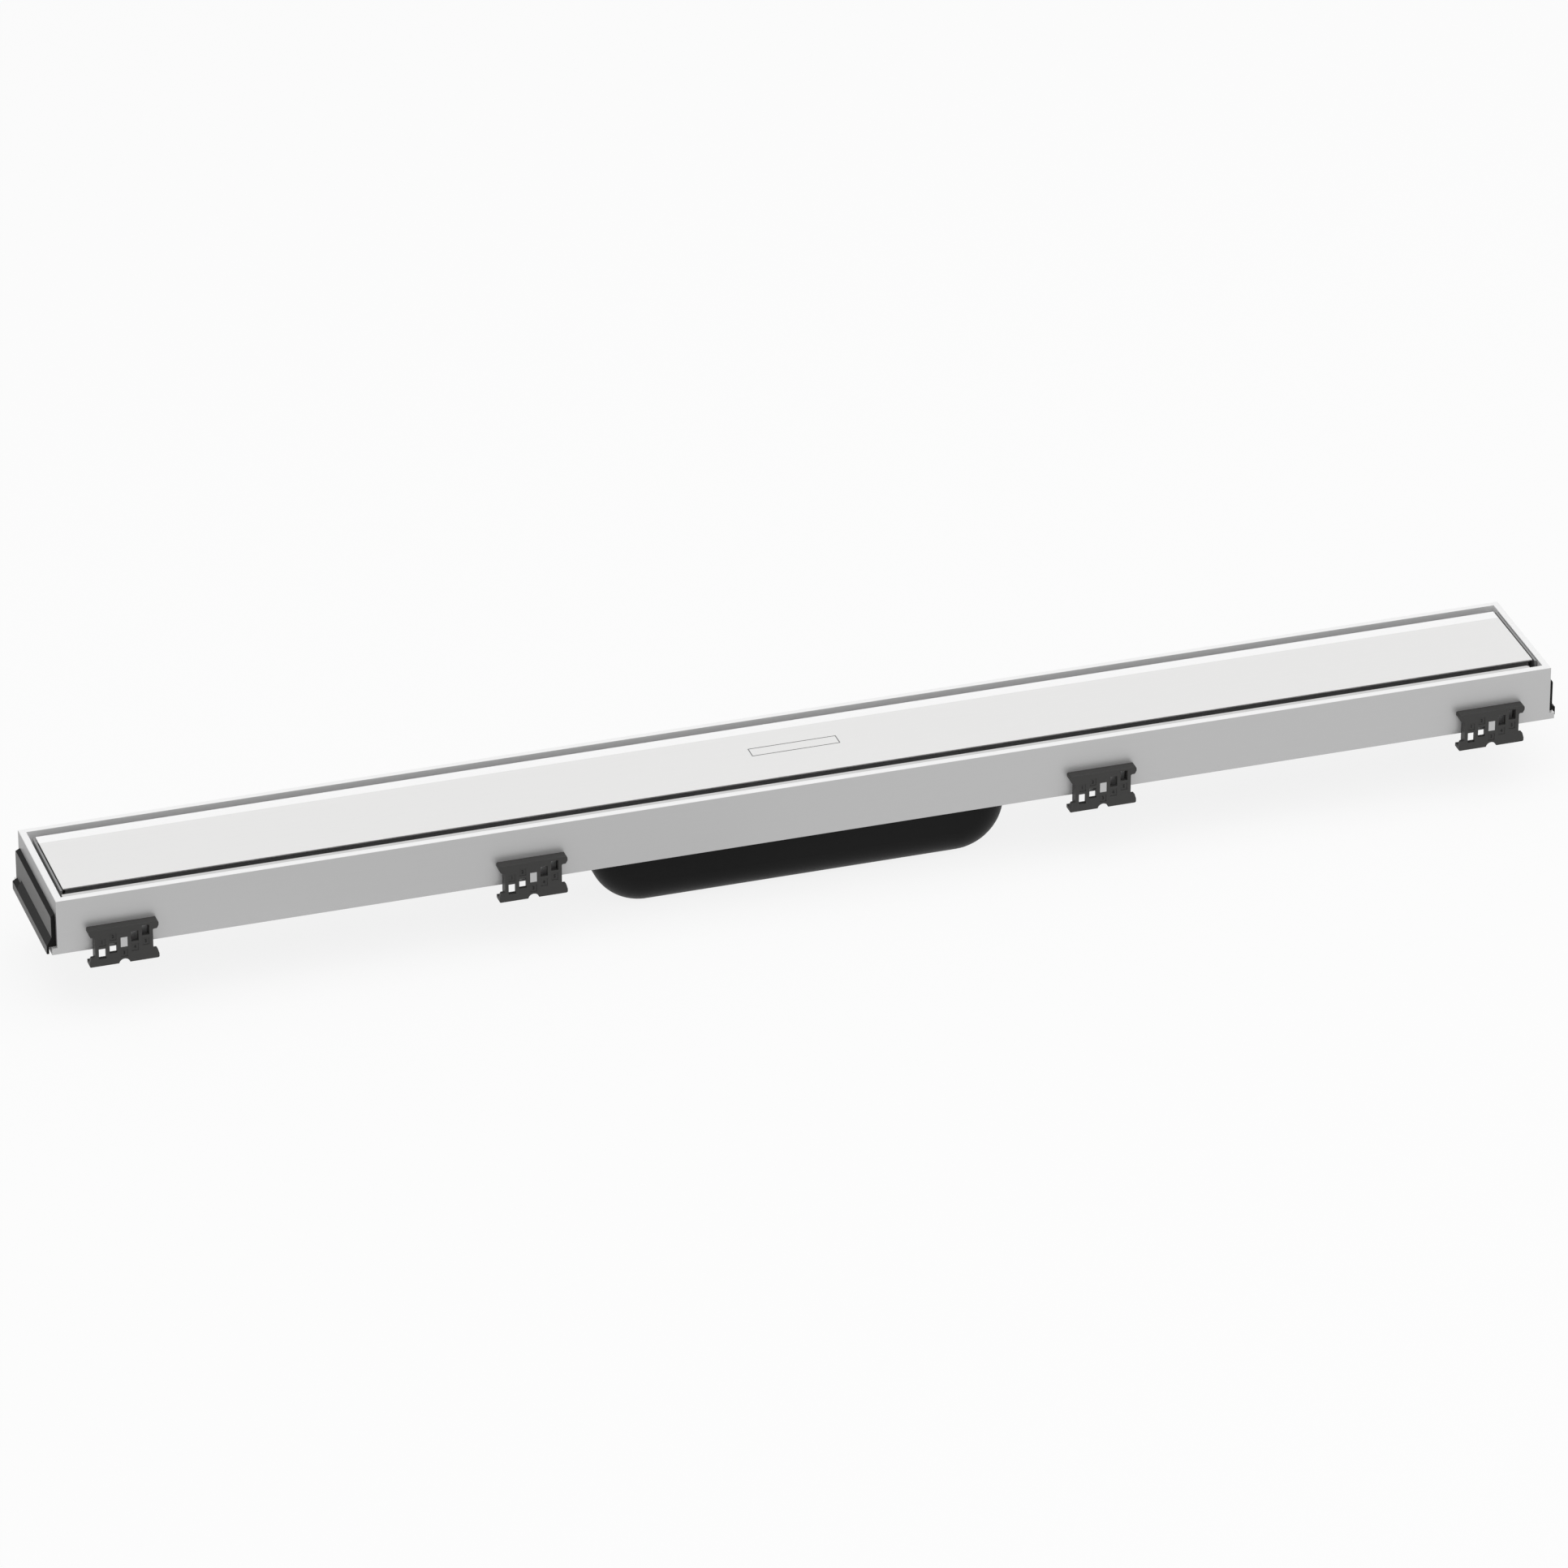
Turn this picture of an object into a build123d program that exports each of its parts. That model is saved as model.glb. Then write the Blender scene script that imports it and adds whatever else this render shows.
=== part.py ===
"""Finish set of a linear shower drain: a metal frame with a cover strip, level clips and a trap bowl.

X runs along the drain, Y across it and Z up. The origin lies on the floor under the middle of the
trap bowl, whose flat bottom the set stands on when it is off the building site.
"""
from build123d import *
import os

os.makedirs("parts", exist_ok=True)

# Frame: one rectangular metal ring with a foot outside its ends and a seat inside all round
frame_length = 590.0
frame_width = 56.6
frame_height = 22.4
frame_wall = 2.6
frame_edge_round = 0.35
foot_height = 2.6
foot_reach = 2.0
seat_reach = 2.0

# Level clips hang on the frame's lugs, at one of five steps
clip_end_margin = 24.8
clip_inner_share = 0.4167
clip_shift = -0.4
clip_standoff = 3.9
clip_web = 1.5
clip_flange = 1.2
clip_ear_flange = 1.8
clip_height = 15.35
clip_top_drop = 12.65
clip_ear_span = 26.6
clip_body_span = 22.1
clip_top_ear = 2.9
clip_bottom_ear = 4.0
clip_ear_edge = 1.6
clip_ear_share = 0.7
clip_corner = 0.6
clip_notch_width = 4.2
clip_notch_depth = 1.7
step_count = 5
step_pitch = 4.15
step_rise = 1.83
window_width = 2.8
window_height = 4.2
window_centre_drop = 19.25
number_away = 4.7
number_width = 2.6
number_height = 3.0
number_depth = 0.2
lug_play = 0.1

# End clips grip the foot at each end of the frame
end_clip_plate = 1.7
end_clip_inset = 1.8
end_clip_top_drop = 6.5
end_clip_top_slope = 0.9
end_clip_shoulder_drop = 16.0
end_clip_shoulder_fall = 3.4
end_clip_shoulder_short = 8.1
end_clip_ledge_drop = 18.3
end_clip_ledge_short = 1.5
end_clip_lip_gap = 0.7
end_clip_lip = 0.9
end_clip_lip_below = 0.3
end_clip_round = 0.6

# Trap bowl, with its flat bottom on the floor
bowl_below_frame = 26.2
bowl_length = 164.0
bowl_width = 39.0
bowl_wall = 2.0
bowl_end_round = 20.5
bowl_side_round = 12.0
bowl_rim_rise = 0.6
bowl_tab_width = 8.0
bowl_tab_reach = 50.0

# Tray in the frame, which leads the water to the middle
tray_play = 0.3
tray_wall = 1.6
tray_rim_drop = 5.0
tray_floor = 1.8
tray_floor_rise = 1.0
tray_fall = 4.5
tray_flat_margin = 8.0
drop_length = 118.0
drop_width = 30.0
drop_shift = -2.0
drop_round = 10.0

# Shoulders in the tray carry the cover on rubber pads
shoulder_end_margin = 50.0
shoulder_inner_share = 0.3878
shoulder_drop = 1.2
shoulder_length = 8.0
shoulder_reach = 9.6
pad_length = 7.0
pad_width = 4.6
pad_thickness = 1.0

# Dip insert with its gasket and hair sieve, in the middle of the tray
gasket_thickness = 1.5
flange_margin = 8.0
flange_margin_side = 4.0
dip_flange = 1.6
dip_wall = 1.6
dip_play = 1.9
dip_clearance = 6.0
sieve_margin = 2.0
sieve_thickness = 1.0
sieve_slot_width = 2.6
sieve_slot_margin = 3.5
sieve_slot_pitch = 5.2

# Cover strip on its carrier
cover_gap_end = 2.2
cover_gap_side = 5.1
cover_thickness = 1.2
cover_proud = 0.4
cover_undercut = 0.85
bevel_width = 5.4
bevel_drop = 0.15
label_length = 35.0
label_width = 6.0
label_line = 0.35
label_depth = 0.15
label_shift_along = -0.3
label_shift_across = 0.8
carrier_inset = 1.1
carrier_rail = 2.2
carrier_ribs = 9

# Edge strips that stand on the tray's walls
front_strip_thickness = 2.0
front_strip_drop = 0.3
front_strip_notch = 4.9
front_strip_gap = 0.9
end_strip_thickness = 0.8
end_strip_drop = 0.2
end_strip_offset = 0.5
end_strip_overlap = 0.2
end_strip_shift = 0.3

# Heights that several pieces share
frame_bottom = bowl_below_frame
frame_top = frame_bottom + frame_height
tray_seat = frame_bottom + foot_height
tray_rim = frame_top - tray_rim_drop
floor_middle = tray_seat + tray_floor_rise + tray_floor
bowl_rim = frame_bottom + bowl_rim_rise
cover_top = frame_top + cover_proud
carrier_top = cover_top - cover_thickness

# Lengths and widths that several pieces share
inner_length = frame_length - 2 * frame_wall
inner_width = frame_width - 2 * frame_wall
tray_length = inner_length - 2 * tray_play
tray_width = inner_width - 2 * tray_play
cover_length = inner_length - 2 * cover_gap_end
cover_width = inner_width - 2 * cover_gap_side
carrier_length = cover_length - 2 * carrier_inset
carrier_width = cover_width - 2 * carrier_inset
flange_length = drop_length + 2 * flange_margin
tray_flat = flange_length + 2 * tray_flat_margin
flange_width = drop_width + 2 * flange_margin_side
dip_length = drop_length - 2 * dip_play
dip_width = drop_width - 2 * dip_play
pad_seat = tray_rim - shoulder_drop
carrier_bottom = pad_seat + pad_thickness


def block(length, width, bottom, top, x=0.0, y=0.0):
    """A box centred on (x, y) between two heights."""
    middle = (bottom + top) / 2
    return Pos(x, y, middle) * Box(length, width, top - bottom)


def drop_block(length, width, corner, bottom, top):
    """A rounded block centred on the drop, where the water leaves the tray."""
    return Pos(drop_shift, 0, bottom) * extrude(RectangleRounded(length, width, corner), top - bottom)


def side_prism(points, depth):
    """An outline of (x, z) points, run across the drain over the given depth."""
    outline = Plane.XZ * make_face(Polyline(*points, close=True))
    return extrude(outline, depth / 2, both=True)


def shoulder_places():
    """Where the tray's shoulders and the pads on them stand, along the drain."""
    outer = frame_length / 2 - shoulder_end_margin
    inner = shoulder_inner_share * outer
    return [-outer, -inner, inner, outer]


def floor_height(x):
    """The height of the tray's floor at a place along the drain."""
    slope = tray_fall / (tray_length / 2 - tray_flat / 2)
    return floor_middle + slope * max(0.0, abs(x) - tray_flat / 2)


def clip_places():
    """Where the four level clips of one long side hang, along the drain."""
    outer = frame_length / 2 - clip_end_margin
    inner = clip_inner_share * outer
    return [reach + clip_shift for reach in (-outer, -inner, inner, outer)]


def clip_sides():
    """The two long sides of the drain, as the turn that brings the front clip there."""
    return {"front": 0, "rear": 180}


def make_frame():
    """The ring, its end feet, its inner seat, and a lug for each level clip."""
    ring = block(frame_length, frame_width, frame_bottom, frame_top)
    top_edges = ring.edges().group_by(Axis.Z)[-1]
    ring = fillet(top_edges, frame_edge_round)
    ring += block(frame_length + 2 * foot_reach, frame_width, frame_bottom, tray_seat)
    ring -= block(inner_length, inner_width, tray_seat, frame_top + foot_height)
    ring -= block(inner_length - 2 * seat_reach, inner_width - 2 * seat_reach, 0, frame_top)
    lug_middle = frame_top - window_centre_drop
    half_lug = window_height / 2 - lug_play
    for turn in clip_sides().values():
        for place in clip_places():
            lug = block(window_width - 2 * lug_play, clip_standoff, lug_middle - half_lug,
                        lug_middle + half_lug, place, -(frame_width + clip_standoff) / 2)
            ring += Rot(0, 0, turn) * lug
    return ring


def clip_outline():
    """The clip's front view about its own middle line: a body with four ears and a notch below."""
    ear = clip_ear_span / 2
    body = clip_body_span / 2
    top = frame_top - clip_top_drop
    bottom = top - clip_height
    corner = body + clip_ear_share * (ear - body)
    right = [(ear, top), (ear, top - clip_ear_edge), (corner, top - clip_top_ear),
             (body, top - clip_top_ear), (body, bottom + clip_bottom_ear),
             (corner, bottom + clip_bottom_ear), (ear, bottom + clip_ear_edge), (ear, bottom)]
    left = [(-x, z) for x, z in reversed(right)]
    outline = make_face(Polyline(*right, *left, close=True))
    outline = fillet(outline.vertices(), clip_corner)
    notch_radius = (clip_notch_width ** 2 / 4 + clip_notch_depth ** 2) / (2 * clip_notch_depth)
    return outline - Pos(0, bottom + clip_notch_depth - notch_radius) * Circle(notch_radius)


def make_level_clip(place, turn):
    """A shallow shell with ears, open to the frame, whose web has five stepped windows.

    Beside each window is a shallow field for its number, above the two low ones and below the rest.
    """
    outline = clip_outline()
    top = frame_top - clip_top_drop
    low = top - clip_height + clip_ear_flange
    face = -frame_width / 2
    front = face - clip_standoff
    clip = Pos(0, face, 0) * extrude(Plane.XZ * outline, clip_standoff)
    middle = front + clip_web + clip_standoff / 2
    beside = block(clip_ear_span, clip_standoff, low, top - clip_ear_flange, 0, middle)
    beside -= block(clip_body_span, clip_standoff, low, top, 0, middle)
    clip -= beside
    clip -= block(clip_body_span - 2 * clip_flange, clip_standoff, low, top - clip_flange, 0, middle)
    for step in range(step_count):
        offset = step - (step_count - 1) / 2
        place_x = offset * step_pitch
        window = frame_top - window_centre_drop + offset * step_rise
        number = window + (number_away if offset < 0 else -number_away)
        clip -= block(window_width, clip_standoff, window - window_height / 2, window + window_height / 2,
                      place_x, front)
        clip -= block(number_width, 2 * number_depth, number - number_height / 2,
                      number + number_height / 2, place_x, front)
    return Rot(0, 0, turn) * Pos(place, 0, 0) * clip


def make_end_clip(turn):
    """A plate on the frame's end face, a lip outside the foot, and a shoulder that stops short."""
    half = frame_width / 2 - end_clip_inset
    start = frame_length / 2
    plate_out = start + end_clip_plate
    lip_in = start + foot_reach + end_clip_lip_gap
    lip_out = lip_in + end_clip_lip
    plate_top = frame_top - end_clip_top_drop
    shoulder = frame_top - end_clip_shoulder_drop
    lip_top = shoulder - end_clip_shoulder_fall
    lip_bottom = frame_bottom - end_clip_lip_below
    ledge = frame_top - end_clip_ledge_drop
    plate = [(start, plate_top), (plate_out, plate_top - end_clip_top_slope), (plate_out, tray_seat),
             (start, tray_seat)]
    clip = side_prism(plate, 2 * half)
    corners = clip.edges().filter_by(Axis.X, tolerance=30).group_by(Axis.Z)[-1]
    clip = fillet(corners, end_clip_round)
    for top, short in ((ledge, end_clip_ledge_short), (shoulder, end_clip_shoulder_short)):
        foot = [(start, tray_seat), (start, top), (plate_out, top), (lip_out, lip_top),
                (lip_out, lip_bottom), (lip_in, lip_bottom), (lip_in, tray_seat)]
        clip += Pos(0, short / 2, 0) * side_prism(foot, 2 * half - short)
    return Rot(0, 0, turn) * clip


def bowl_body(wall, top):
    """The bowl's outer form, drawn in by a wall thickness all round."""
    length = bowl_length - 2 * wall
    width = bowl_width - 2 * wall
    end_round = bowl_end_round - wall
    half = length / 2
    profile = make_face(Polyline((-half, wall), (half, wall), (half, top), (-half, top), close=True))
    profile = fillet(profile.vertices().group_by(Axis.Y)[0], end_round)
    body = extrude(Plane.XZ * profile, width / 2, both=True)
    rim = [edge for face in body.faces().filter_by(Axis.Y) for edge in face.edges()
           if edge.bounding_box().min.Z < top - bowl_wall]
    return Pos(drop_shift, 0, 0) * fillet(rim, bowl_side_round - wall)


def make_trap_bowl():
    """A closed bowl with a big round all along its bottom, held by four tabs under the tray."""
    bowl = bowl_body(0.0, bowl_rim) - bowl_body(bowl_wall, bowl_rim)
    tab_top = floor_middle - tray_floor
    for side in (-1, 1):
        for reach in (-bowl_tab_reach, bowl_tab_reach):
            bowl += block(bowl_tab_width, bowl_wall, bowl_rim - bowl_wall, tab_top, drop_shift + reach,
                          side * (bowl_width - bowl_wall) / 2)
    return bowl


def make_tray():
    """A trough whose floor falls from both ends to the drop opening in the middle."""
    half = tray_length / 2
    flat = tray_flat / 2
    tray = block(tray_length, tray_width, tray_seat, tray_rim)
    tray -= block(tray_length - 2 * tray_wall, tray_width - 2 * tray_wall, 0, frame_top)
    floor_line = [(x, floor_height(x)) for x in (-half, -flat, flat, half)]
    under_line = [(x, z - tray_floor) for x, z in reversed(floor_line)]
    tray += side_prism(floor_line + under_line, tray_width)
    tray -= drop_block(drop_length, drop_width, drop_round, 0, frame_top)
    for side in (-1, 1):
        for place in shoulder_places():
            middle = side * (tray_width / 2 - tray_wall / 2 - shoulder_reach / 2)
            tray += block(shoulder_length, shoulder_reach + tray_wall, floor_height(place) - tray_floor / 2,
                          pad_seat, place, middle)
    return tray


def make_gasket():
    """A flat rubber ring between the tray's floor and the dip insert."""
    top = floor_middle + gasket_thickness
    ring = drop_block(flange_length, flange_width, drop_round, floor_middle, top)
    return ring - drop_block(drop_length, drop_width, drop_round, 0, frame_top)


def make_dip_insert():
    """A flanged oblong tube that reaches down into the bowl's water."""
    seat = floor_middle + gasket_thickness
    outer = drop_round - dip_play
    insert = drop_block(flange_length, flange_width, drop_round, seat, seat + dip_flange)
    insert += drop_block(dip_length, dip_width, outer, bowl_wall + dip_clearance, seat + dip_flange)
    return insert - drop_block(dip_length - 2 * dip_wall, dip_width - 2 * dip_wall, outer - dip_wall,
                               0, frame_top)


def make_hair_sieve():
    """A thin metal plate with a row of slots, loose on the dip insert."""
    bottom = floor_middle + gasket_thickness + dip_flange
    plate = drop_block(flange_length - 2 * sieve_margin, flange_width - 2 * sieve_margin,
                       drop_round - sieve_margin, bottom, bottom + sieve_thickness)
    slot_length = dip_width - 2 * dip_wall - 2 * sieve_slot_margin
    run = dip_length - 2 * dip_wall - 2 * sieve_slot_margin
    count = int(run // sieve_slot_pitch) + 1
    slot = Rot(0, 0, 90) * SlotOverall(slot_length, sieve_slot_width)
    for place in GridLocations(sieve_slot_pitch, 0, count, 1):
        plate -= Pos(drop_shift, 0, bottom) * place * extrude(slot, sieve_thickness)
    return plate


def make_cover_plate():
    """The metal strip: undercut edges, a shallow bevel along the rear, and a bare engraved field."""
    plate = block(cover_length, cover_width, carrier_top, cover_top)
    plate = chamfer(plate.faces().sort_by(Axis.Z)[0].edges(), cover_undercut)
    rear = cover_width / 2
    wedge = Plane.YZ * make_face(Polyline((rear - bevel_width, cover_top), (rear + bevel_width, cover_top),
                                          (rear + bevel_width, cover_top - 2 * bevel_drop), close=True))
    plate -= extrude(wedge, cover_length, both=True)
    field = Rectangle(label_length, label_width)
    field -= Rectangle(label_length - 2 * label_line, label_width - 2 * label_line)
    corner = Pos(label_shift_along, label_shift_across, cover_top - label_depth)
    return plate - corner * extrude(field, 2 * label_depth)


def make_cover_carrier():
    """A plastic ladder under the strip that stiffens it and stands on the pads."""
    carrier = block(carrier_length, carrier_width, carrier_bottom, carrier_top)
    window_span = (carrier_length - (carrier_ribs + 2) * carrier_rail) / (carrier_ribs + 1)
    for place in GridLocations(window_span + carrier_rail, 0, carrier_ribs + 1, 1):
        carrier -= place * block(window_span, carrier_width - 2 * carrier_rail, carrier_bottom, carrier_top)
    return carrier


def make_cover_pads():
    """Rubber pads between the carrier's rails and the tray's shoulders."""
    middle = (carrier_width - pad_width) / 2
    return Compound(children=[block(pad_length, pad_width, pad_seat, carrier_bottom, place, side * middle)
                              for side in (-1, 1) for place in shoulder_places()])


def make_front_strip():
    """The strip on the tray's front wall, with a finger notch at its right end."""
    start = front_strip_gap - inner_length / 2
    end = inner_length / 2 - front_strip_notch
    middle = -(tray_width - front_strip_thickness) / 2
    strip = block(end - start, front_strip_thickness, tray_rim, frame_top - front_strip_drop,
                  (start + end) / 2, middle)
    corner = strip.edges().filter_by(Axis.Z).group_by(Axis.X)[-1].sort_by(Axis.Y)[-1]
    return fillet(corner, front_strip_thickness / 2)


def make_end_strip(side):
    """A thin strip on the tray's end wall that closes the gap beside the cover's end."""
    middle = side * (tray_length / 2 - end_strip_offset - end_strip_thickness / 2) + end_strip_shift
    return block(end_strip_thickness, cover_width + 2 * end_strip_overlap, tray_rim,
                 frame_top - end_strip_drop, middle)


pieces = {
    "frame": make_frame(),
    "trap_bowl": make_trap_bowl(),
    "tray": make_tray(),
    "tray_gasket": make_gasket(),
    "dip_insert": make_dip_insert(),
    "hair_sieve": make_hair_sieve(),
    "cover_plate": make_cover_plate(),
    "cover_carrier": make_cover_carrier(),
    "cover_pads": make_cover_pads(),
    "front_edge_strip": make_front_strip(),
    "left_end_strip": make_end_strip(-1),
    "right_end_strip": make_end_strip(1),
    "left_end_clip": make_end_clip(180),
    "right_end_clip": make_end_clip(0),
}
for side, turn in clip_sides().items():
    for number, place in enumerate(clip_places(), start=1):
        pieces[f"{side}_level_clip_{number}"] = make_level_clip(place, turn)

for name, shape in pieces.items():
    export_step(shape, f"parts/{name}.step")
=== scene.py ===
# %% [markdown]
# # A linear shower drain, dressed in Blender
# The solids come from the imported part: a long metal frame, a cover strip, eight level clips, two
# end clips, a tray with its trap and a bowl underneath. This file gives each of them a finish, adds
# the small moulded details, and sets the camera, the floor and the lamps. Each step says what the
# real piece is and why it is made this way.

# %% Load the frame
import math

import bpy
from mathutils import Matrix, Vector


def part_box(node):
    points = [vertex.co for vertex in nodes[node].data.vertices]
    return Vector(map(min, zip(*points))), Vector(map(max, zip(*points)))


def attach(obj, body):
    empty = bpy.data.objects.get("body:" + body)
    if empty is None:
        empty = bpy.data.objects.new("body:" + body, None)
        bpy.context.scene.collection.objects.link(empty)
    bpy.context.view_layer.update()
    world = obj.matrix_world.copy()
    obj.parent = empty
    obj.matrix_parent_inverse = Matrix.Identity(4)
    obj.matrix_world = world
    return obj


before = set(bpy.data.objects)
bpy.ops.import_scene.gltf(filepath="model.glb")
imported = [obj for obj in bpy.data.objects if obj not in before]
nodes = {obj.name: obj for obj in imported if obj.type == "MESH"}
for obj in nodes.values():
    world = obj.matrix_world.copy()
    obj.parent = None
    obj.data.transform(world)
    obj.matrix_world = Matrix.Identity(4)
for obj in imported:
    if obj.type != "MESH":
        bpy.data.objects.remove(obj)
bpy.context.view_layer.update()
MM = 0.001


# %% [markdown]
# ## The camera
# The picture looks along the drain from its front left, a little under thirty degrees down, with a
# long lens from almost four metres away. The lens, the place and the turn come from the frame's own
# corners, so every edge of the model can be laid over the picture.

# %% Camera
LENS_MM = 238.92
CAMERA_PLACE = (-1.0584, -3.2737, 1.9459)
LOOK_DOWN = math.radians(29.075)
TURN_RIGHT = math.radians(17.845)
SEEN_FROM, SEEN_TO = 0.1, 50.0

camera = bpy.data.objects.new("camera", bpy.data.cameras.new("camera"))
camera.data.lens = LENS_MM
camera.data.clip_start, camera.data.clip_end = SEEN_FROM, SEEN_TO
camera.location = CAMERA_PLACE
camera.rotation_euler = (math.pi / 2 - LOOK_DOWN, 0.0, -TURN_RIGHT)
bpy.context.scene.collection.objects.link(camera)
bpy.context.scene.camera = camera
bpy.context.scene.view_settings.view_transform = "Standard"
print("camera at", CAMERA_PLACE, "lens", LENS_MM)

# %% [markdown]
# ## Helpers for materials
# A material is a small graph of nodes. These helpers keep the cells short. One makes a node with
# its values filled in, and three more do the sums and read a place or a direction. One starts a
# material whose Principled shader has its plain numbers set on its own sockets, and the last starts
# a node group.

# %% Material helpers
def node(tree, kind, links=None, **values):
    """Adds a node, fills in its inputs by name or number, and links others to it."""
    made = tree.nodes.new(kind)
    for key, value in values.items():
        setattr(made, key, value)
    for key, source in (links or {}).items():
        socket = made.inputs[key]
        if isinstance(source, bpy.types.NodeSocket):
            tree.links.new(source, socket)
        else:
            socket.default_value = source
    return made


def maths(tree, operation, *values):
    """The result of one sum over numbers or sockets."""
    return node(tree, "ShaderNodeMath", dict(enumerate(values)), operation=operation).outputs[0]


def along(tree, vector, axis):
    """The part of a vector along one axis."""
    return node(tree, "ShaderNodeSeparateXYZ", {0: vector}).outputs[axis]


def facing(tree, axis):
    """How far the surface turns towards an axis, from -1 to 1."""
    return along(tree, node(tree, "ShaderNodeNewGeometry").outputs["Normal"], axis)


def material(name, metallic, roughness):
    """A new material with a Principled shader, and the place of each point on the object."""
    made = bpy.data.materials.new(name)
    made.use_nodes = True
    tree = made.node_tree
    shader = tree.nodes["Principled BSDF"]
    shader.inputs["Metallic"].default_value = metallic
    shader.inputs["Roughness"].default_value = roughness
    place = node(tree, "ShaderNodeTexCoord").outputs["Object"]
    return made, tree, shader, place


def group(name, inputs, outputs):
    """An empty node group with named sockets, each given as (name, kind, value)."""
    made = bpy.data.node_groups.new(name, "ShaderNodeTree")
    for title, kind, value in inputs:
        socket = made.interface.new_socket(title, in_out="INPUT", socket_type=kind)
        if value is not None:
            socket.default_value = value
    for title, kind in outputs:
        made.interface.new_socket(title, in_out="OUTPUT", socket_type=kind)
    return made, made.nodes.new("NodeGroupInput"), made.nodes.new("NodeGroupOutput")


FLOAT, VECTOR, COLOUR = "NodeSocketFloat", "NodeSocketVector", "NodeSocketColor"
print("helpers ready")

# %% [markdown]
# ## Shared effect: brushed lines
# Stainless strips are brushed along their length, so the fine scratches are very long in X and very
# narrow in Y and Z. Noise stretched that way gives them. The group puts out the lines for roughness
# and bump, and a shade that swings about one for the colour. Every metal here uses it with its own
# fineness.

# %% Brushed lines
def about_one(tree, noise, depth):
    """A value that swings about 1 with the noise, by up to half the depth."""
    swing = maths(tree, "SUBTRACT", noise.outputs["Fac"], 0.5)
    return maths(tree, "MULTIPLY_ADD", swing, depth, 1.0)


brushed, g_in, g_out = group(
    "brushed_lines",
    [("Place", VECTOR, None), ("Lines Per Metre", FLOAT, 2500.0), ("Stretch", FLOAT, 60.0),
     ("Depth", FLOAT, 0.1)],
    [("Lines", FLOAT), ("Shade", FLOAT)])
stretch = maths(brushed, "DIVIDE", 1.0, g_in.outputs["Stretch"])
squeeze = node(brushed, "ShaderNodeCombineXYZ", {"X": stretch, "Y": 1.0, "Z": 1.0})
drawn = node(brushed, "ShaderNodeVectorMath", {0: g_in.outputs["Place"], 1: squeeze.outputs[0]},
             operation="MULTIPLY")
lines = node(brushed, "ShaderNodeTexNoise",
             {"Vector": drawn.outputs[0], "Scale": g_in.outputs["Lines Per Metre"], "Detail": 3.0,
              "Roughness": 0.6})
brushed.links.new(lines.outputs["Fac"], g_out.inputs["Lines"])
brushed.links.new(about_one(brushed, lines, g_in.outputs["Depth"]), g_out.inputs["Shade"])
print("group", brushed.name, "with", len(brushed.nodes), "nodes")

# %% [markdown]
# ## Shared effect: moulded skin
# Black drain plastic comes out of a spark-eroded mould, with a fine even grain, and over a whole
# piece it is never quite one tone. The group gives both: a grain for bump and roughness, and a slow
# cloud for the colour.

# %% Moulded skin
skin, g_in, g_out = group(
    "moulded_skin",
    [("Place", VECTOR, None), ("Grains Per Metre", FLOAT, 1800.0),
     ("Clouds Per Metre", FLOAT, 18.0), ("Cloud Depth", FLOAT, 0.15)],
    [("Grain", FLOAT), ("Cloud", FLOAT)])
grain = node(skin, "ShaderNodeTexNoise",
             {"Vector": g_in.outputs["Place"], "Scale": g_in.outputs["Grains Per Metre"],
              "Detail": 2.0, "Roughness": 0.55})
cloud = node(skin, "ShaderNodeTexNoise",
             {"Vector": g_in.outputs["Place"], "Scale": g_in.outputs["Clouds Per Metre"],
              "Detail": 3.0, "Roughness": 0.5})
skin.links.new(grain.outputs["Fac"], g_out.inputs["Grain"])
skin.links.new(about_one(skin, cloud, g_in.outputs["Cloud Depth"]), g_out.inputs["Cloud"])
print("group", skin.name, "with", len(skin.nodes), "nodes")

# %% [markdown]
# ## Shared effect: handling dust
# A new drain still carries a trace of dust where a surface faces up. The group reads the surface's
# own direction, which is fixed to the object and not to the view, and breaks it up with noise.

# %% Handling dust
dust, g_in, g_out = group(
    "handling_dust",
    [("Place", VECTOR, None), ("Specks Per Metre", FLOAT, 140.0), ("Amount", FLOAT, 0.1)],
    [("Mask", FLOAT)])
upward = node(dust, "ShaderNodeMapRange",
              {"Value": facing(dust, "Z"), "From Min": 0.3, "From Max": 1.0})
specks = node(dust, "ShaderNodeTexNoise",
              {"Vector": g_in.outputs["Place"], "Scale": g_in.outputs["Specks Per Metre"],
               "Detail": 5.0, "Roughness": 0.7})
broken = node(dust, "ShaderNodeMapRange",
              {"Value": specks.outputs["Fac"], "From Min": 0.45, "From Max": 0.75})
lying = maths(dust, "MULTIPLY", upward.outputs[0], broken.outputs[0])
dust.links.new(maths(dust, "MULTIPLY", lying, g_in.outputs["Amount"]), g_out.inputs["Mask"])
print("group", dust.name, "with", len(dust.nodes), "nodes")

# %% [markdown]
# ## Metal finishes
# The frame, the cover and the strips are brushed sheet. One function builds that finish from a
# colour, because they differ only in tone, in how fine the lines are and in how deep they go. A
# mask from the object's own coordinates or direction can lay a second tone over the first. Here it
# paints light and shade: a painted highlight on the frame's rim and the cover's rear band, painted
# shade on the frame's ends and paler painted light on the walls inside the ring. The Mix node's
# sockets are found by their numbers, because it has others of the same name for other kinds of
# value.

# %% Brushed metal
MIX_FIRST, MIX_SECOND, MIX_RESULT = 6, 7, 2
NOISE_SPAN = (0.3, 0.7)
LINE_STRENGTH, LINE_HEIGHT = 0.08, 0.03 * MM
LINE_ROUGHNESS = (-0.04, 0.05)


def blended(tree, mask, first, second, blend="MIX"):
    """One colour where the mask is black and another, or their product, where it is white."""
    return node(tree, "ShaderNodeMix", {0: mask, MIX_FIRST: first, MIX_SECOND: second},
                data_type="RGBA", blend_type=blend).outputs[MIX_RESULT]


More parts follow.
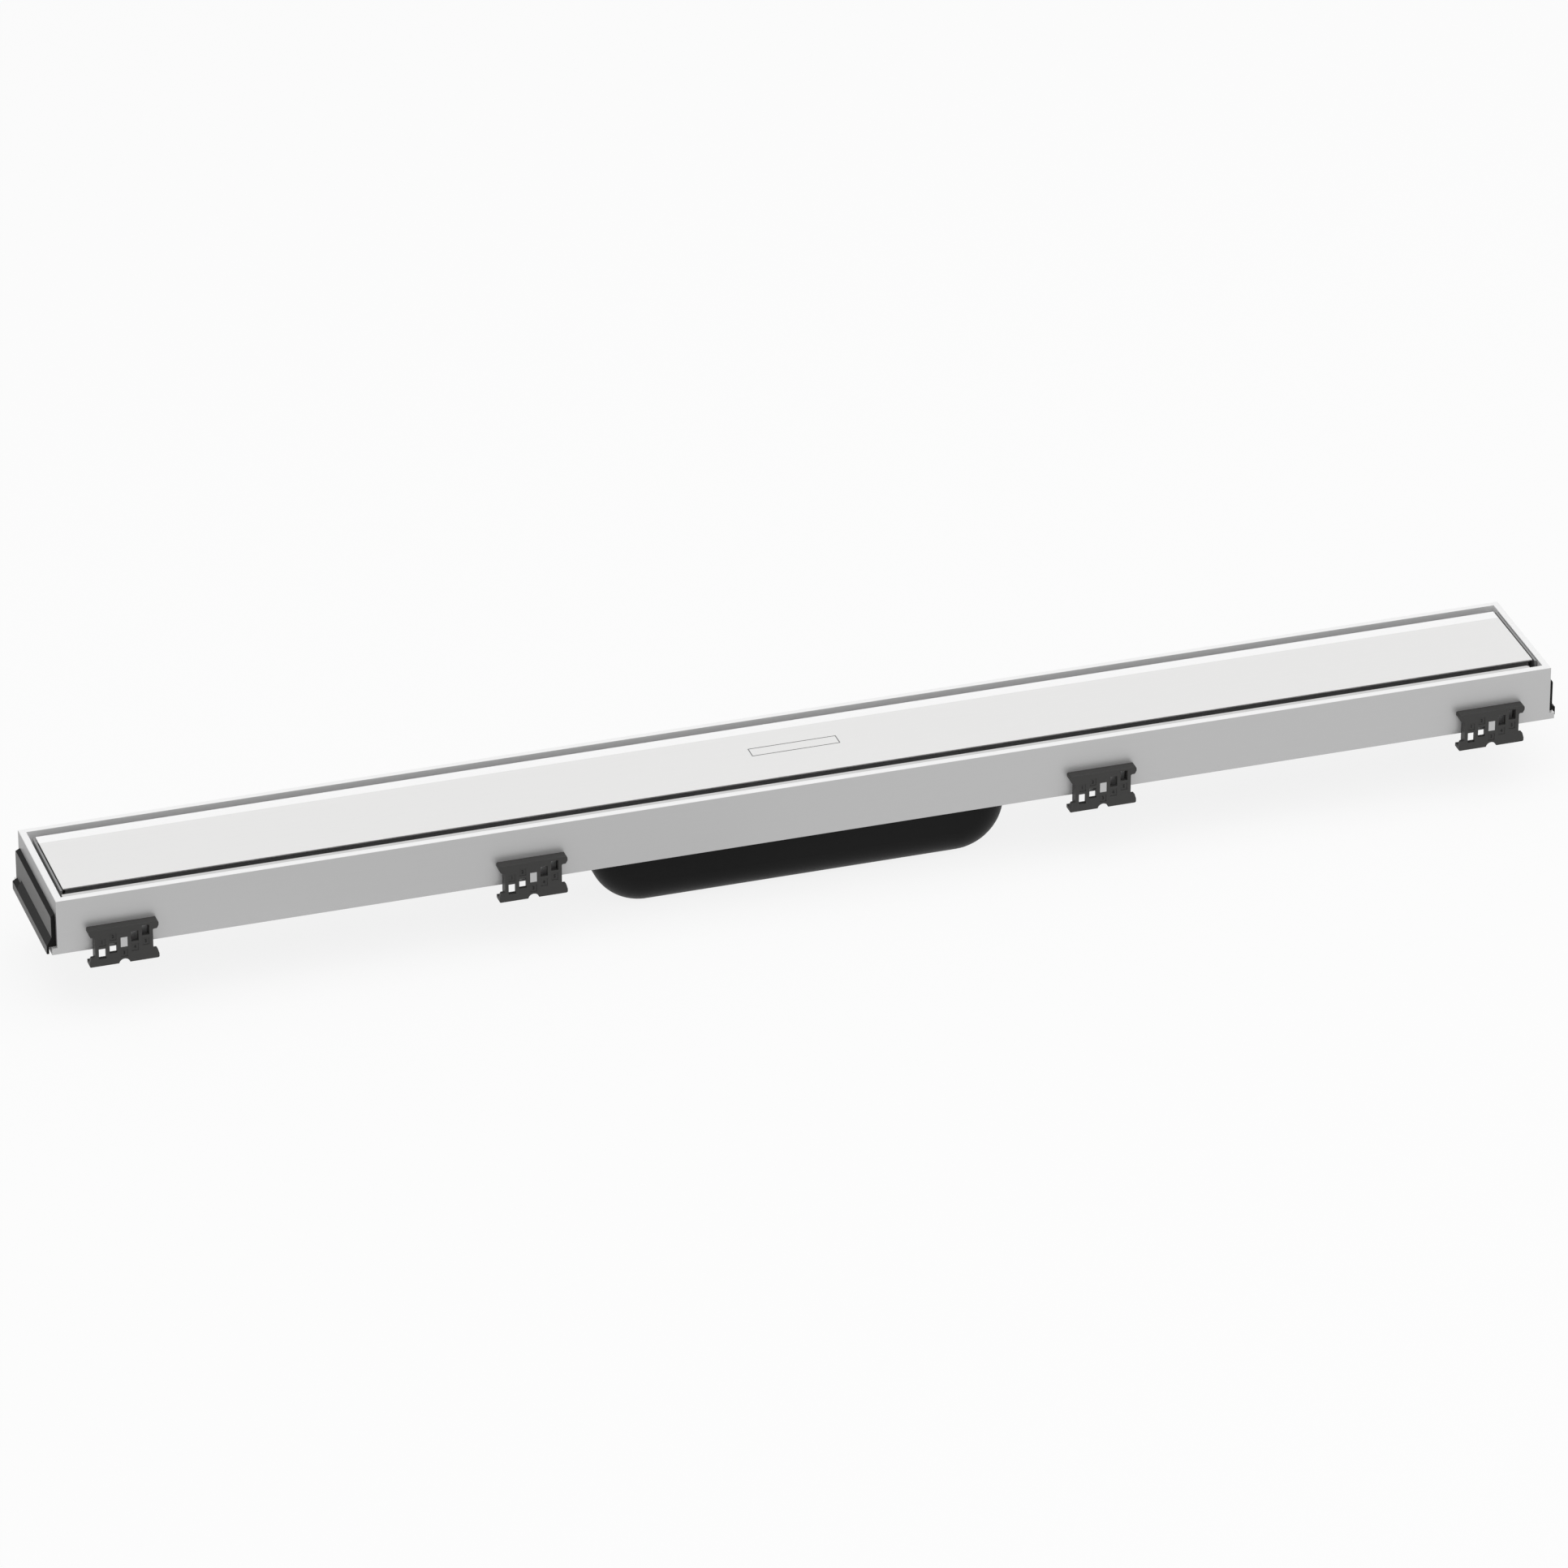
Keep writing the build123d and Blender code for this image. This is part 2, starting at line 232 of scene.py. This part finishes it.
def textured(tree, shader, noise, roughness, swing, strength, height):
    """Lets the roughness and a fine bump follow a noise."""
    rough = node(tree, "ShaderNodeMapRange",
                 {"Value": noise, "From Min": NOISE_SPAN[0], "From Max": NOISE_SPAN[1],
                  "To Min": roughness + swing[0], "To Max": roughness + swing[1]})
    tree.links.new(rough.outputs[0], shader.inputs["Roughness"])
    bump = node(tree, "ShaderNodeBump", {"Strength": strength, "Distance": height, "Height": noise})
    tree.links.new(bump.outputs[0], shader.inputs["Normal"])


def grey(value, warm=0.0):
    """An even grey, with a little yellow when it is warm."""
    return (value, value * (1 - warm / 3), value * (1 - warm), 1.0)


def brushed_metal(name, base, roughness, metallic, lines_per_metre, depth, layers=()):
    """A brushed sheet finish. layers are (colour, function that puts out its mask) pairs."""
    made, tree, shader, place = material(name, metallic, roughness)
    strokes = node(tree, "ShaderNodeGroup", node_tree=brushed)
    for key, value in (("Lines Per Metre", lines_per_metre), ("Depth", depth)):
        strokes.inputs[key].default_value = value
    tree.links.new(place, strokes.inputs["Place"])
    colour = base
    for over, mask in layers:
        colour = blended(tree, mask(tree, place), colour, over)
    colour = blended(tree, 1.0, colour, strokes.outputs["Shade"], "MULTIPLY")
    tree.links.new(colour, shader.inputs["Base Color"])
    textured(tree, shader, strokes.outputs["Lines"], roughness, LINE_ROUGHNESS, LINE_STRENGTH,
             LINE_HEIGHT)
    return made


print("metal finish ready")

# %% [markdown]
# ## The frame's finish
# The frame is one ring of satin metal. Its rim, the narrow top that stays in view between the
# tiles, and every other face that turns up are painted near white, a painted highlight. The sides
# keep the darker satin of the sheet, and the faces at the ends are painted darker still, as painted
# shade. The walls inside the ring are less metallic and painted paler, painted light that lifts the
# shade inside the slot. They are found by their place inside the ring, and the same mask takes the
# metal's mirror from them. A mask is a function of the material's tree and of the point's place.

# %% Frame finish
RING_HALF_WIDTH = 28.3 * MM
WALL = 2.6 * MM
FOOT = 2.0 * MM
JUST_PAST = 0.1 * MM
frame_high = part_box("frame")[1]
INSIDE_HALF = (frame_high[0] - FOOT - WALL + JUST_PAST, RING_HALF_WIDTH - WALL + JUST_PAST)
FACES_UP = (0.2, 0.8)
FACES_END = 0.9
FRAME_METALLIC = 0.55


def inside_mask(tree, place):
    """White on the walls inside the ring, where paler painted light goes."""
    in_x, in_y = (maths(tree, "LESS_THAN", maths(tree, "ABSOLUTE", along(tree, place, axis)), half)
                  for axis, half in zip("XY", INSIDE_HALF))
    return maths(tree, "MULTIPLY", in_x, in_y)


def rim_mask(tree, _):
    """White where the surface faces up, for the painted highlight on the rim."""
    return node(tree, "ShaderNodeMapRange", {"Value": facing(tree, "Z"), "From Min": FACES_UP[0],
                                             "From Max": FACES_UP[1]}).outputs[0]


def end_mask(tree, _):
    """White where the surface faces one of the drain's two ends, for painted shade on the frame and
    painted light on the end clips.
    """
    return maths(tree, "GREATER_THAN", maths(tree, "ABSOLUTE", facing(tree, "X")), FACES_END)


# The end tone is painted shade; the inside and upward tones are painted light.
frame_satin = brushed_metal("frame_satin", grey(0.58), roughness=0.42, metallic=FRAME_METALLIC,
                            lines_per_metre=1800.0, depth=0.06,
                            layers=[(grey(0.40), end_mask), (grey(0.95), inside_mask),
                                    (grey(0.95), rim_mask)])
frame_tree = frame_satin.node_tree
frame_shader = frame_tree.nodes["Principled BSDF"]
dull = inside_mask(frame_tree, frame_tree.nodes["Texture Coordinate"].outputs["Object"])
metal = node(frame_tree, "ShaderNodeMapRange",
             {"Value": dull, "To Min": FRAME_METALLIC, "To Max": 0.0})
frame_tree.links.new(metal.outputs[0], frame_shader.inputs["Metallic"])
print("made", frame_satin.name)

# %% [markdown]
# ## The cover's finish
# The cover is finely brushed along its length. A band along its rear edge slopes down a little and
# is painted near white, a painted highlight, and a thin line is etched round a small bare field in
# its middle. Both follow from the plate's own measures, so they are masks of the object's
# coordinates.

# %% Cover finish
plate_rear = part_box("cover_plate")[1][1]
BAND = 5.4 * MM
FIELD_MIDDLE = (-0.3 * MM, 0.8 * MM)
FIELD_HALF = (17.5 * MM, 3.0 * MM)
FIELD_LINE = 0.42 * MM


def band_mask(tree, place):
    """White on the sloping band along the cover's rear edge, where a highlight is painted."""
    return maths(tree, "GREATER_THAN", along(tree, place, "Y"), plate_rear - BAND)


def field_mask(tree, place):
    """White on the thin rectangle etched round the bare field."""
    over = []
    for axis, middle, half in zip("XY", FIELD_MIDDLE, FIELD_HALF):
        moved = maths(tree, "SUBTRACT", along(tree, place, axis), middle)
        over.append(maths(tree, "SUBTRACT", maths(tree, "ABSOLUTE", moved), half))
    outside = maths(tree, "MAXIMUM", *over)
    return maths(tree, "COMPARE", outside, -FIELD_LINE / 2, FIELD_LINE / 2)


# The near white of the rear band is a painted highlight.
cover_brushed = brushed_metal("cover_brushed", grey(0.85, 0.01), roughness=0.36, metallic=0.6,
                              lines_per_metre=3200.0, depth=0.05,
                              layers=[(grey(0.99), band_mask)])
cover_tree = cover_brushed.node_tree
cover_shader = cover_tree.nodes["Principled BSDF"]
cover_colour = cover_shader.inputs["Base Color"].links[0].from_socket
cover_place = cover_tree.nodes["Texture Coordinate"].outputs["Object"]
etched = blended(cover_tree, field_mask(cover_tree, cover_place), cover_colour, grey(0.30))
cover_tree.links.new(etched, cover_shader.inputs["Base Color"])
print("made", cover_brushed.name)

# %% [markdown]
# ## The strips and the sieve
# The front strip is pale satin and faces up, so it is brighter than the frame's sides. The two
# strips at the ends are painted a mid grey, painted shade for the narrow gaps they stand in. The
# sieve under the cover is plain brushed sheet.

# %% Strip and sieve finishes
strip_satin = brushed_metal("strip_satin", grey(0.68, 0.01), roughness=0.4, metallic=0.4,
                            lines_per_metre=2200.0, depth=0.04)
# The mid grey of the end strips is painted shade.
end_strip_satin = brushed_metal("end_strip_satin", grey(0.31), roughness=0.45, metallic=0.5,
                                lines_per_metre=2200.0, depth=0.06)
sieve_brushed = brushed_metal("sieve_brushed", grey(0.60), roughness=0.35, metallic=0.9,
                              lines_per_metre=2600.0, depth=0.1)
print("made", strip_satin.name, end_strip_satin.name, sieve_brushed.name)

# %% [markdown]
# ## Plastic and rubber finishes
# The tray, the carrier, the bowl and the clips are moulded. They share the grain and the dust
# groups and differ in tone: the bowl is the blackest and the level clips are a dark grey. The end
# clips are near black, and the faces that turn to the drain's ends are painted mid grey, as painted
# light.

# %% Moulded plastic
DUST_TONE = grey(0.35, 0.05)
GRAIN_STRENGTH = 0.25
GRAIN_ROUGHNESS = (-0.05, 0.05)


def moulded(name, base, roughness, grains, height, dusty, shine=0.5, ends=None):
    """A moulded plastic finish with grain, slow clouds and a trace of dust.

    grains is their number in a metre, and height how far they rise. dusty is the share of dust, and
    ends is a second colour, painted light, for the surfaces that face the drain's two ends.
    """
    made, tree, shader, place = material(name, 0.0, roughness)
    shader.inputs["Specular IOR Level"].default_value = shine
    surface = node(tree, "ShaderNodeGroup", node_tree=skin)
    surface.inputs["Grains Per Metre"].default_value = grains
    tree.links.new(place, surface.inputs["Place"])
    settled = node(tree, "ShaderNodeGroup", node_tree=dust)
    settled.inputs["Amount"].default_value = dusty
    tree.links.new(place, settled.inputs["Place"])
    if ends:
        base = blended(tree, end_mask(tree, place), base, ends)
    colour = blended(tree, 1.0, base, surface.outputs["Cloud"], "MULTIPLY")
    colour = blended(tree, settled.outputs["Mask"], colour, DUST_TONE)
    tree.links.new(colour, shader.inputs["Base Color"])
    textured(tree, shader, surface.outputs["Grain"], roughness, GRAIN_ROUGHNESS, GRAIN_STRENGTH,
             height)
    return made


bowl_black = moulded("bowl_black", grey(0.009), roughness=0.45, grains=1500.0, height=0.06 * MM,
                     dusty=0.04, shine=0.12)
tray_black = moulded("tray_black", grey(0.05), roughness=0.5, grains=1500.0, height=0.05 * MM,
                     dusty=0.05)
carrier_black = moulded("carrier_black", grey(0.12), roughness=0.5, grains=1500.0,
                        height=0.05 * MM, dusty=0.03)
clip_grey = moulded("clip_grey", grey(0.050, 0.04), roughness=0.5, grains=2200.0,
                    height=0.04 * MM, dusty=0.0, shine=0.3)
# The paler grey on the faces at the drain's ends is painted light.
end_clip_grey = moulded("end_clip_grey", grey(0.006), roughness=0.5, grains=2200.0,
                        height=0.04 * MM, dusty=0.0, shine=0.12, ends=grey(0.18, 0.02))
# The numbers' grey, darker than their clip, is painted shade for their relief.
numeral_grey = moulded("numeral_grey", grey(0.012, 0.04), roughness=0.45, grains=2200.0,
                       height=0.03 * MM, dusty=0.0, shine=0.3)
rubber_black = moulded("rubber_black", grey(0.012), roughness=0.75, grains=900.0,
                       height=0.08 * MM, dusty=0.06)
print("made seven moulded finishes")

# %% [markdown]
# ## Hand each finish to its solids
# The solids stay exactly as they were packed. Only the material in each slot changes.

# %% Assign finishes
FINISHES = {
    "frame": frame_satin, "cover_plate": cover_brushed, "front_edge_strip": strip_satin,
    "left_end_strip": end_strip_satin, "right_end_strip": end_strip_satin,
    "hair_sieve": sieve_brushed, "tray": tray_black, "dip_insert": tray_black,
    "cover_carrier": carrier_black, "trap_bowl": bowl_black, "tray_gasket": rubber_black,
    "cover_pads": rubber_black, "left_end_clip": end_clip_grey, "right_end_clip": end_clip_grey,
}
clips = sorted(name for name in nodes if "level_clip" in name)
FINISHES.update({name: clip_grey for name in clips})
for name, finish in FINISHES.items():
    mesh = nodes[name].data
    mesh.materials.clear()
    mesh.materials.append(finish)
print("finished", len(FINISHES), "solids of", len(nodes))

# %% [markdown]
# ## Step numbers on the level clips
# Each clip has five windows, one for each height, and beside each a shallow field with a small
# raised number. The numbers repeat on all eight clips, so a Geometry Nodes tree makes them: it
# draws a number, fills it, gives it a height, and moves it to its field. One tree builds all five
# for one clip, from named sizes, and a rotation turns the set for the rear side.

# %% Number tree
STEPS = 5
MIDDLE_STEP = 3


def number_tree():
    """A tree that puts raised numbers 1 to 5 beside the windows of one clip."""
    tree = bpy.data.node_groups.new("step_numbers", "GeometryNodeTree")
    for title, kind, value in (("Height", FLOAT, 1.9 * MM), ("Relief", FLOAT, 0.15 * MM),
                               ("Pitch", FLOAT, 4.15 * MM), ("Rise", FLOAT, 1.83 * MM),
                               ("Away", FLOAT, 4.7 * MM), ("Middle", VECTOR, None),
                               ("Turn", FLOAT, 0.0)):
        socket = tree.interface.new_socket(title, in_out="INPUT", socket_type=kind)
        if value is not None:
            socket.default_value = value
    tree.interface.new_socket("Finish", in_out="INPUT", socket_type="NodeSocketMaterial")
    tree.interface.new_socket("Geometry", in_out="OUTPUT", socket_type="NodeSocketGeometry")
    given = tree.nodes.new("NodeGroupInput").outputs
    joined = tree.nodes.new("GeometryNodeJoinGeometry")
    for number in range(1, STEPS + 1):
        offset = float(number - MIDDLE_STEP)
        side = 1.0 if number < MIDDLE_STEP else -1.0
        drawn = node(tree, "GeometryNodeStringToCurves",
                     {"String": str(number), "Size": given["Height"]}, align_x="CENTER",
                     align_y="MIDDLE")
        solid = node(tree, "GeometryNodeRealizeInstances", {0: drawn.outputs[0]})
        flat = node(tree, "GeometryNodeFillCurve", {0: solid.outputs[0]})
        raised = node(tree, "GeometryNodeExtrudeMesh",
                      {"Mesh": flat.outputs[0], "Offset Scale": given["Relief"]})
        raised.inputs["Individual"].default_value = False
        across = maths(tree, "MULTIPLY", given["Pitch"], offset)
        up = maths(tree, "MULTIPLY", given["Rise"], offset)
        beside = maths(tree, "MULTIPLY_ADD", given["Away"], side, up)
        spot = node(tree, "ShaderNodeCombineXYZ", {"X": across, "Y": 0.0, "Z": beside})
        upright = node(tree, "GeometryNodeTransform",
                       {"Geometry": raised.outputs["Mesh"], "Translation": spot.outputs[0],
                        "Rotation": (math.pi / 2, 0.0, 0.0)})
        tree.links.new(upright.outputs[0], joined.inputs[0])
    on_face = node(tree, "GeometryNodeTransform",
                   {"Geometry": joined.outputs[0], "Translation": given["Middle"]})
    spin = node(tree, "ShaderNodeCombineXYZ", {"X": 0.0, "Y": 0.0, "Z": given["Turn"]})
    turned = node(tree, "GeometryNodeTransform",
                  {"Geometry": on_face.outputs[0], "Rotation": spin.outputs[0]})
    real = node(tree, "GeometryNodeRealizeInstances", {0: turned.outputs[0]})
    finished = node(tree, "GeometryNodeSetMaterial",
                    {"Geometry": real.outputs[0], "Material": given["Finish"]})
    out = tree.nodes.new("NodeGroupOutput")
    tree.links.new(finished.outputs[0], out.inputs[0])
    return tree


numbers = number_tree()
print("tree", numbers.name, "with", len(numbers.nodes), "nodes")

# %% [markdown]
# ## Bake a tree into a plain mesh
# The export can't read a live tree, so each result is turned into an ordinary mesh, and the helper
# object with its modifier goes away. The inputs are set by their identifiers before the object is
# evaluated for the first time.

# %% Baking helper
def bake(name, tree, values):
    """Runs a Geometry Nodes tree with the given inputs and returns a plain mesh object."""
    scratch = bpy.data.objects.new(name + "_tree", bpy.data.meshes.new(name + "_tree"))
    bpy.context.scene.collection.objects.link(scratch)
    modifier = scratch.modifiers.new("tree", "NODES")
    modifier.node_group = tree
    for item in tree.interface.items_tree:
        if item.item_type == "SOCKET" and item.in_out == "INPUT" and item.name in values:
            modifier[item.identifier] = values[item.name]
    graph = bpy.context.evaluated_depsgraph_get()
    mesh = bpy.data.meshes.new_from_object(scratch.evaluated_get(graph), depsgraph=graph)
    bpy.data.objects.remove(scratch)
    piece = bpy.data.objects.new(name, mesh)
    bpy.context.scene.collection.objects.link(piece)
    print(name, "faces:", len(mesh.polygons))
    return piece


# %% [markdown]
# ## Put the numbers on the clips
# Each clip's own box gives its middle and its front face, and the fields lie a little behind that
# face, so that the numbers stay below it. The rear clips are the front ones turned half round, so
# their numbers are placed as for a front clip and then turned.

# %% Numbers on the clips
WINDOW_MIDDLE_DROP = 19.25 * MM
FIELD_DEPTH = 0.2 * MM
frame_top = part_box("frame")[1][2]
for name in clips:
    low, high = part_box(name)
    rear = name.startswith("rear")
    face = -high[1] if rear else low[1]
    middle_x = (low[0] + high[0]) / 2 * (-1 if rear else 1)
    piece = bake(name + "_numbers", numbers,
                 {"Middle": (middle_x, face + FIELD_DEPTH, frame_top - WINDOW_MIDDLE_DROP),
                  "Turn": math.pi if rear else 0.0, "Finish": numeral_grey})
    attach(piece, "root")

# %% [markdown]
# ## Ribs under the tray
# A moulded tray this long is stiffened from below by a lattice of thin ribs, hidden in the frame
# but seen when the drain is turned over. The tray's floor rises towards both ends, so each rib is
# taller than the one before it. Nothing of this is in the picture: the lattice is a guess, kept
# clear of the bowl and of the frame's seat.

# %% Rib tree
def rib_tree():
    """Cross ribs and short lengthwise ribs under one half of the tray, and the same turned."""
    tree = bpy.data.node_groups.new("tray_ribs", "GeometryNodeTree")
    for title, kind, value in (("First", FLOAT, 96 * MM), ("Pitch", FLOAT, 15.5 * MM),
                               ("Count", "NodeSocketInt", 13), ("Thickness", FLOAT, 1.4 * MM),
                               ("Width", FLOAT, 45 * MM), ("Row Gap", FLOAT, 11 * MM),
                               ("Shallower", FLOAT, 0.3 * MM),
                               ("Bottom", FLOAT, 0.0), ("Top", FLOAT, 0.0),
                               ("Flat Half", FLOAT, 75 * MM), ("Slope", FLOAT, 0.02)):
        tree.interface.new_socket(title, in_out="INPUT", socket_type=kind).default_value = value
    tree.interface.new_socket("Finish", in_out="INPUT", socket_type="NodeSocketMaterial")
    tree.interface.new_socket("Geometry", in_out="OUTPUT", socket_type="NodeSocketGeometry")
    given = tree.nodes.new("NodeGroupInput").outputs

    def vector(x, y, z):
        return node(tree, "ShaderNodeCombineXYZ", {"X": x, "Y": y, "Z": z}).outputs[0]

    here = along(tree, tree.nodes.new("GeometryNodeInputPosition").outputs[0], "X")
    past_flat = maths(tree, "SUBTRACT", maths(tree, "ABSOLUTE", here), given["Flat Half"])
    top = maths(tree, "MULTIPLY_ADD", past_flat, given["Slope"], given["Top"])
    bar = tree.nodes.new("GeometryNodeMeshCube")
    spacing = vector(given["Pitch"], 0.0, 0.0)

    def run(first, row, count, length, width, bottom):
        height = maths(tree, "SUBTRACT", top, bottom)
        middle = maths(tree, "MULTIPLY_ADD", height, 0.5, bottom)
        line = node(tree, "GeometryNodeMeshLine",
                    {"Count": count, "Start Location": vector(first, row, 0.0), "Offset": spacing})
        lifted = node(tree, "GeometryNodeSetPosition",
                      {"Geometry": line.outputs[0], "Offset": vector(0.0, 0.0, middle)})
        return node(tree, "GeometryNodeInstanceOnPoints",
                    {"Points": lifted.outputs[0], "Instance": bar.outputs[0],
                     "Scale": vector(length, width, height)}).outputs[0]

    half = tree.nodes.new("GeometryNodeJoinGeometry")
    runs = [run(given["First"], 0.0, given["Count"], given["Thickness"], given["Width"],
                given["Bottom"])]
    between = maths(tree, "MULTIPLY_ADD", given["Pitch"], 0.5, given["First"])
    length = maths(tree, "MULTIPLY_ADD", given["Thickness"], -0.5, given["Pitch"])
    shallow = maths(tree, "ADD", given["Bottom"], given["Shallower"])
    fewer = maths(tree, "SUBTRACT", given["Count"], 1.0)
    for side in (-1.0, 0.0, 1.0):
        row = maths(tree, "MULTIPLY", given["Row Gap"], side)
        runs.append(run(between, row, fewer, length, given["Thickness"], shallow))
    for part in runs:
        tree.links.new(part, half.inputs[0])
    turned = node(tree, "GeometryNodeTransform",
                  {"Geometry": half.outputs[0], "Rotation": (0.0, 0.0, math.pi)})
    both = tree.nodes.new("GeometryNodeJoinGeometry")
    tree.links.new(half.outputs[0], both.inputs[0])
    tree.links.new(turned.outputs[0], both.inputs[0])
    real = node(tree, "GeometryNodeRealizeInstances", {0: both.outputs[0]})
    finished = node(tree, "GeometryNodeSetMaterial",
                    {"Geometry": real.outputs[0], "Material": given["Finish"]})
    out = tree.nodes.new("NodeGroupOutput")
    tree.links.new(finished.outputs[0], out.inputs[0])
    return tree


TRAY_FALL = 4.5 * MM
FLAT_HALF = 75 * MM
RISE_AT_FLAT = 1.0 * MM
RIB_BELOW_SEAT = 1.6 * MM
RIB_IN_FLOOR = 0.5 * MM
tray_low, tray_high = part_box("tray")
ribs = bake("tray_under_ribs", rib_tree(),
            {"Bottom": tray_low[2] - RIB_BELOW_SEAT,
             "Top": tray_low[2] + RISE_AT_FLAT + RIB_IN_FLOOR,
             "Flat Half": FLAT_HALF, "Slope": TRAY_FALL / (tray_high[0] - FLAT_HALF),
             "Finish": tray_black})
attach(ribs, "root")

# %% [markdown]
# ## The floor and the light
# The floor is plain and pale. Seen by the camera or in a reflection it is almost white by itself,
# so the drain's shadow stays but is light. For soft light that bounces off it, it is an ordinary
# pale floor. The world does the same. One large lamp hangs overhead, a little to the front and the
# right, so the rims are brighter than the sides, the left end is in half shade and the drain's
# shadow is soft. Its power is worked out from a plain level and its height. Reflections leave the
# lamp out, because the white room is in them already and the two together would burn out the metal
# seen from above.

# %% Floor
FLOOR_HALF = 4.0
FLOOR_TONE = 0.78
FLOOR_WHITE = 0.85
floor_mesh = bpy.data.meshes.new("floor")
corners = [(-FLOOR_HALF, -FLOOR_HALF, 0), (FLOOR_HALF, -FLOOR_HALF, 0),
           (FLOOR_HALF, FLOOR_HALF, 0), (-FLOOR_HALF, FLOOR_HALF, 0)]
floor_mesh.from_pydata(corners, [], [(0, 1, 2, 3)])
floor = bpy.data.objects.new("floor", floor_mesh)
bpy.context.scene.collection.objects.link(floor)


def seen_directly(tree):
    """White for camera, glossy and transmission rays, and black for the rest."""
    path = node(tree, "ShaderNodeLightPath").outputs
    first = maths(tree, "MAXIMUM", path["Is Camera Ray"], path["Is Glossy Ray"])
    return maths(tree, "MAXIMUM", first, path["Is Transmission Ray"])


floor_pale, tree, shader, _ = material("floor_pale", 0.0, 1.0)
shader.inputs["Specular IOR Level"].default_value = 0.0
seen = seen_directly(tree)
tree.links.new(blended(tree, seen, grey(FLOOR_TONE), grey(1.0 - FLOOR_WHITE)),
               shader.inputs["Base Color"])
tree.links.new(blended(tree, seen, grey(0.0), grey(FLOOR_WHITE)), shader.inputs["Emission Color"])
shader.inputs["Emission Strength"].default_value = 1.0
floor_mesh.materials.append(floor_pale)
print("floor", 2 * FLOOR_HALF, "m wide")

# %% World and lamp
LEVEL_FIRST, LEVEL_SECOND = 2, 3
WORLD_LEVEL = 0.52
LAMP_LEVEL = 0.62
LAMP_PLACE = (0.4, -1.1, 2.6)
LAMP_SIZE = 4.0

world = bpy.data.worlds.new("studio")
bpy.context.scene.world = world
world.use_nodes = True
tree = world.node_tree
background = tree.nodes["Background"]
level = node(tree, "ShaderNodeMix",
             {0: seen_directly(tree), LEVEL_FIRST: WORLD_LEVEL, LEVEL_SECOND: 1.0})
background.inputs["Color"].default_value = grey(1.0)
tree.links.new(level.outputs[0], background.inputs["Strength"])

lamp = bpy.data.objects.new("lamp", bpy.data.lights.new("lamp", "AREA"))
lamp.data.shape = "SQUARE"
lamp.data.size = LAMP_SIZE
lamp.data.energy = LAMP_LEVEL * (math.pi * LAMP_PLACE[2]) ** 2
lamp.location = LAMP_PLACE
lamp.visible_glossy = False
bpy.context.scene.collection.objects.link(lamp)
print("world level", WORLD_LEVEL, "lamp", round(lamp.data.energy, 1), "W")
